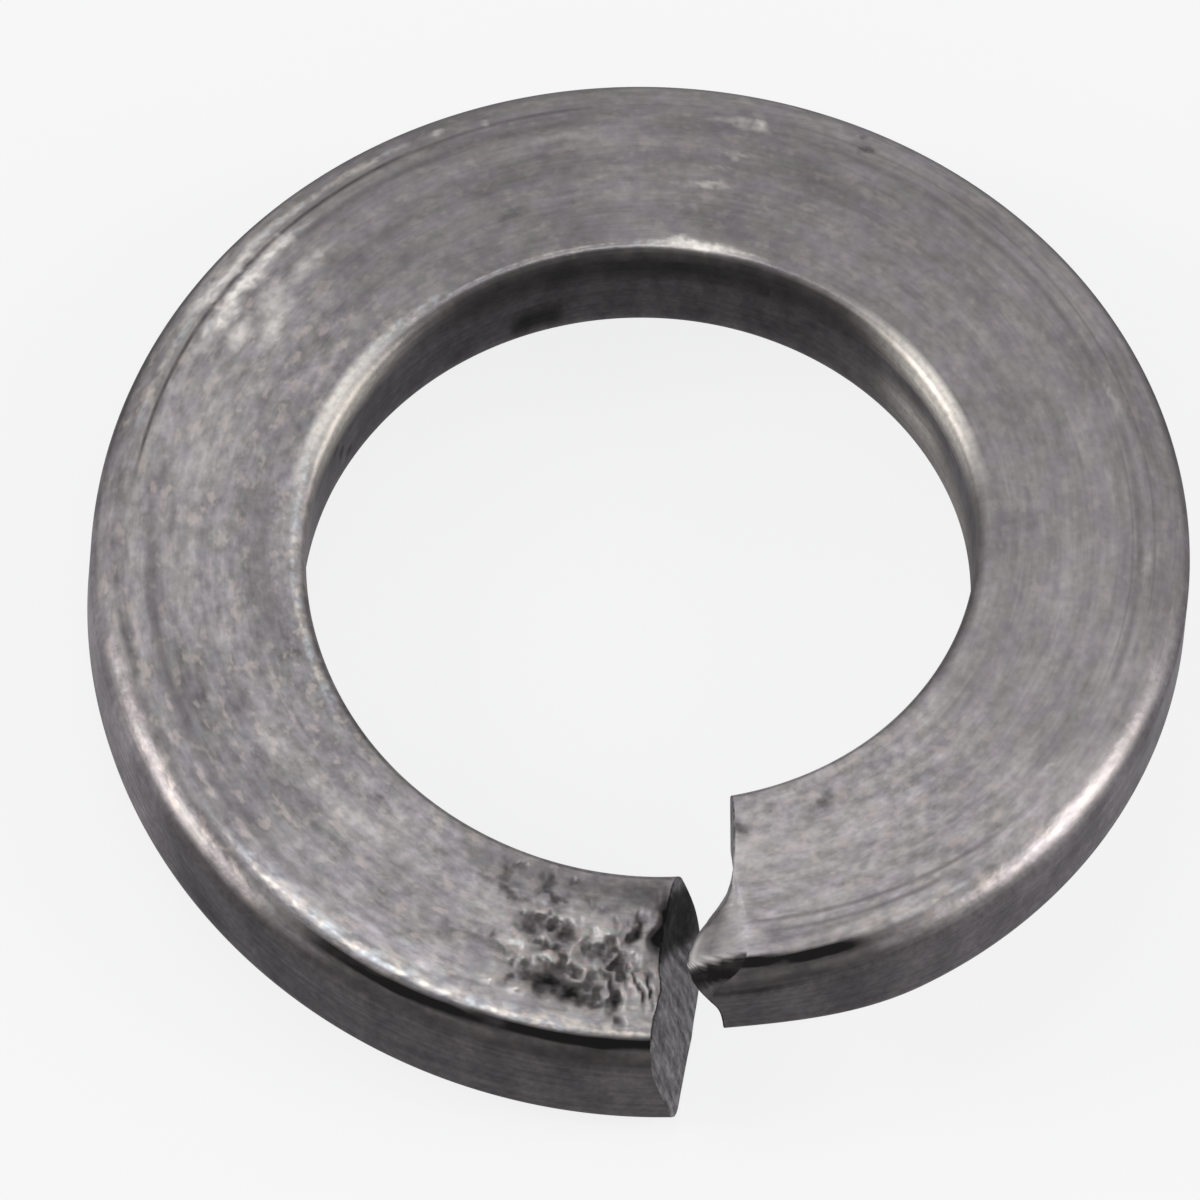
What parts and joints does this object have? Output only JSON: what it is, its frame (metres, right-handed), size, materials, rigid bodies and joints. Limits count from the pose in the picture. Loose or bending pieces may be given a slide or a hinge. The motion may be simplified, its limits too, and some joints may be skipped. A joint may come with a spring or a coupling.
{
  "type": "spring lock washer",
  "caption": "Split spring lock washer: rectangular steel wire coiled on edge, with offset sheared ends that bite under a bolt head or nut.",
  "frame": {"origin": "on the bore axis, level with the washer's lowest edge, which is the foot of the low end", "axes": "+Z along the bore, towards the bolt head or nut; the cut is at the front, on the -Y side; +X to the right of it, on the side of the high end"},
  "size_m": [0.0204, 0.0204, 0.0054],
  "materials": {
    "spring_steel": "satin"
  },
  "bodies": {
    "root": {"spring_washer": "spring_steel"}
  },
  "joints": []
}
